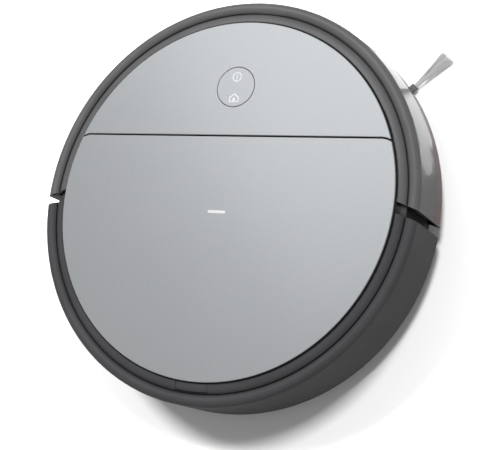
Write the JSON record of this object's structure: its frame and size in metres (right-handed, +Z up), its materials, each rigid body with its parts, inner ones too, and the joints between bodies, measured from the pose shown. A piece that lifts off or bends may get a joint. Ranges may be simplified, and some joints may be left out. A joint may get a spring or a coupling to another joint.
{
  "type": "robot floor cleaner",
  "caption": "Round low robot floor cleaner with a hinged top lid, sprung bumper, driven wheels, caster, roller brush and a side brush",
  "frame": {"origin": "on the floor under the centre of the round body", "axes": "+Y is the direction of travel, +X is the machine's right, +Z is up"},
  "size_m": [0.33, 0.333, 0.078],
  "materials": {
    "silver_plate": "silver metallic plastic under a clear coat",
    "dark_rim": "glossy dark grey moulding",
    "dark_body": "satin dark grey moulding",
    "inner_black": "plain black moulding",
    "tinted_window": "dark red-brown infra-red window",
    "accent_grey": "mid grey moulding",
    "steel": "turned steel",
    "spring_steel": "spring wire",
    "motor_can": "drawn steel can",
    "brass_bush": "plain brass",
    "gear_plastic": "off-white acetal",
    "circuit_board": "green circuit board",
    "battery_wrap": "blue shrink wrap",
    "bristle": "pale nylon bristle",
    "tyre_rubber": "black rubber with cross grooves",
    "caster_tread": "pale hard plastic wheel",
    "bin_smoke": "smoke-grey clear plastic",
    "filter_paper": "pleated white paper",
    "foam": "soft black foam",
    "contact_nickel": "nickel plate"
  },
  "bodies": {
    "chassis": {"base_shell": "dark_body", "top_shell": "dark_body", "front_panel": "silver_plate", "lid_hinge_pins": "steel", "control_board": "circuit_board", "brush_chamber": "inner_black", "brush_cover": "accent_grey", "brush_bearing": "brass_bush", "idler_shaft": "steel", "brush_gearbox": "inner_black", "brush_motor": "motor_can", "battery_pack": "battery_wrap", "battery_door": "dark_body", "main_board": "circuit_board", "drive_brackets": "inner_black", "caster_socket": "inner_black", "dust_bin": "bin_smoke", "bin_cover": "inner_black", "bin_filter": "filter_paper", "fan_housing": "inner_black", "fan_gasket": "foam", "fan_motor": "motor_can", "side_brush_motor": "motor_can", "charging_contacts": "contact_nickel", "cliff_sensors": "tinted_window", "obstacle_sensors": "tinted_window", "bump_brackets": "inner_black", "bump_springs": "spring_steel", "switch_housing": "inner_black", "shell_screws": "steel", "suspension_spring_right": "spring_steel", "suspension_spring_left": "spring_steel"},
    "lid": {"lid_skin": "silver_plate", "lid_frame": "inner_black"},
    "release_tab": {"release_tab": "dark_body"},
    "control_button": {"control_button": "silver_plate"},
    "bumper": {"bumper_shell": "dark_rim", "bumper_window": "tinted_window"},
    "drive_arm_right": {"drive_arm_right": "inner_black", "drive_motor_right": "motor_can"},
    "drive_arm_left": {"drive_arm_left": "inner_black", "drive_motor_left": "motor_can"},
    "wheel_right": {"wheel_hub_right": "accent_grey", "tyre_right": "tyre_rubber"},
    "wheel_left": {"wheel_hub_left": "accent_grey", "tyre_left": "tyre_rubber"},
    "caster_fork": {"caster_fork": "dark_body", "caster_axle": "steel"},
    "caster_wheel": {"caster_wheel": "caster_tread"},
    "main_brush": {"brush_core": "inner_black", "brush_bristles": "bristle", "brush_gear": "gear_plastic"},
    "brush_idler": {"idler_gear": "gear_plastic"},
    "brush_pinion": {"motor_pinion": "brass_bush"},
    "fan_wheel": {"fan_impeller": "gear_plastic"},
    "side_brush": {"side_brush_hub": "accent_grey", "side_brush_tufts": "bristle"},
    "power_rocker": {"power_rocker": "inner_black"},
    "bump_lever_right": {"bump_lever_right": "gear_plastic"},
    "bump_lever_left": {"bump_lever_left": "gear_plastic"}
  },
  "joints": [
    {"name": "lid_hinge", "type": "hinge", "parent": "chassis", "child": "lid", "pos_m": [0, 0.0464, 0.0746], "axis": [-1, 0, 0], "range_deg": [0, 60]},
    {"name": "release_tab_press", "type": "slide", "parent": "chassis", "child": "release_tab", "axis": [0, 0, -1], "range_m": [0, 0.0015], "stiffness_N_per_m": 400, "springref_m": -0.001},
    {"name": "control_button_rock", "type": "hinge", "parent": "chassis", "child": "control_button", "pos_m": [0, 0.09135, 0.073], "axis": [1, 0, 0], "range_deg": [-1.2, 1.2], "stiffness_Nm_per_rad": 0.05},
    {"name": "bumper_press", "type": "slide", "parent": "chassis", "child": "bumper", "axis": [0, 1, 0], "range_m": [-0.004, 0], "stiffness_N_per_m": 300, "springref_m": 0.003},
    {"name": "bump_lever_right_turn", "type": "hinge", "parent": "chassis", "child": "bump_lever_right", "pos_m": [0.054, 0.118, 0.0495], "axis": [0, 0, 1], "range_deg": [-14.4, 0]},
    {"name": "bump_lever_left_turn", "type": "hinge", "parent": "chassis", "child": "bump_lever_left", "pos_m": [-0.054, 0.118, 0.0495], "axis": [0, 0, 1], "range_deg": [0, 14.4]},
    {"name": "drive_arm_right_swing", "type": "hinge", "parent": "chassis", "child": "drive_arm_right", "pos_m": [0.1, 0.044, 0.044], "axis": [1, 0, 0], "range_deg": [-2.5, 16], "stiffness_Nm_per_rad": 1.5, "springref_deg": 13.18, "deforming": ["suspension_spring_right"]},
    {"name": "drive_arm_left_swing", "type": "hinge", "parent": "chassis", "child": "drive_arm_left", "pos_m": [-0.1, 0.044, 0.044], "axis": [1, 0, 0], "range_deg": [-2.5, 16], "stiffness_Nm_per_rad": 1.5, "springref_deg": 13.18, "deforming": ["suspension_spring_left"]},
    {"name": "wheel_right_spin", "type": "hinge", "parent": "drive_arm_right", "child": "wheel_right", "pos_m": [0.095, 0, 0.033], "axis": [-1, 0, 0], "continuous": true},
    {"name": "wheel_left_spin", "type": "hinge", "parent": "drive_arm_left", "child": "wheel_left", "pos_m": [-0.095, 0, 0.033], "axis": [-1, 0, 0], "continuous": true},
    {"name": "caster_swivel", "type": "hinge", "parent": "chassis", "child": "caster_fork", "pos_m": [0, 0.118, 0.036], "axis": [0, 0, 1], "continuous": true},
    {"name": "caster_wheel_spin", "type": "hinge", "parent": "caster_fork", "child": "caster_wheel", "pos_m": [0, 0.11, 0.013], "axis": [-1, 0, 0], "continuous": true},
    {"name": "main_brush_spin", "type": "hinge", "parent": "chassis", "child": "main_brush", "pos_m": [0, -0.034, 0.022], "axis": [1, 0, 0], "continuous": true},
    {"name": "brush_idler_spin", "type": "hinge", "parent": "chassis", "child": "brush_idler", "pos_m": [0.09, -0.04305, 0.03105], "axis": [1, 0, 0], "continuous": true},
    {"name": "brush_pinion_spin", "type": "hinge", "parent": "chassis", "child": "brush_pinion", "pos_m": [0.095, -0.05606, 0.04406], "axis": [1, 0, 0], "continuous": true},
    {"name": "fan_spin", "type": "hinge", "parent": "chassis", "child": "fan_wheel", "pos_m": [-0.094, -0.088, 0.042], "axis": [1, 0, 0], "continuous": true},
    {"name": "side_brush_spin", "type": "hinge", "parent": "chassis", "child": "side_brush", "pos_m": [0.104, 0.092, 0.015], "axis": [0, 0, 1], "continuous": true},
    {"name": "power_rocker_tilt", "type": "hinge", "parent": "chassis", "child": "power_rocker", "pos_m": [-0.15455, -0.04141, 0.05], "axis": [0, 0, 1], "range_deg": [-16, 0]}
  ],
  "couplings": [
    {"joint": "bump_lever_right_turn", "follows": "bumper_press", "rad_per_m": 62.5},
    {"joint": "bump_lever_left_turn", "follows": "bumper_press", "rad_per_m": -62.5},
    {"joint": "brush_idler_spin", "follows": "main_brush_spin", "ratio": -1.6667},
    {"joint": "brush_pinion_spin", "follows": "main_brush_spin", "ratio": 6}
  ]
}
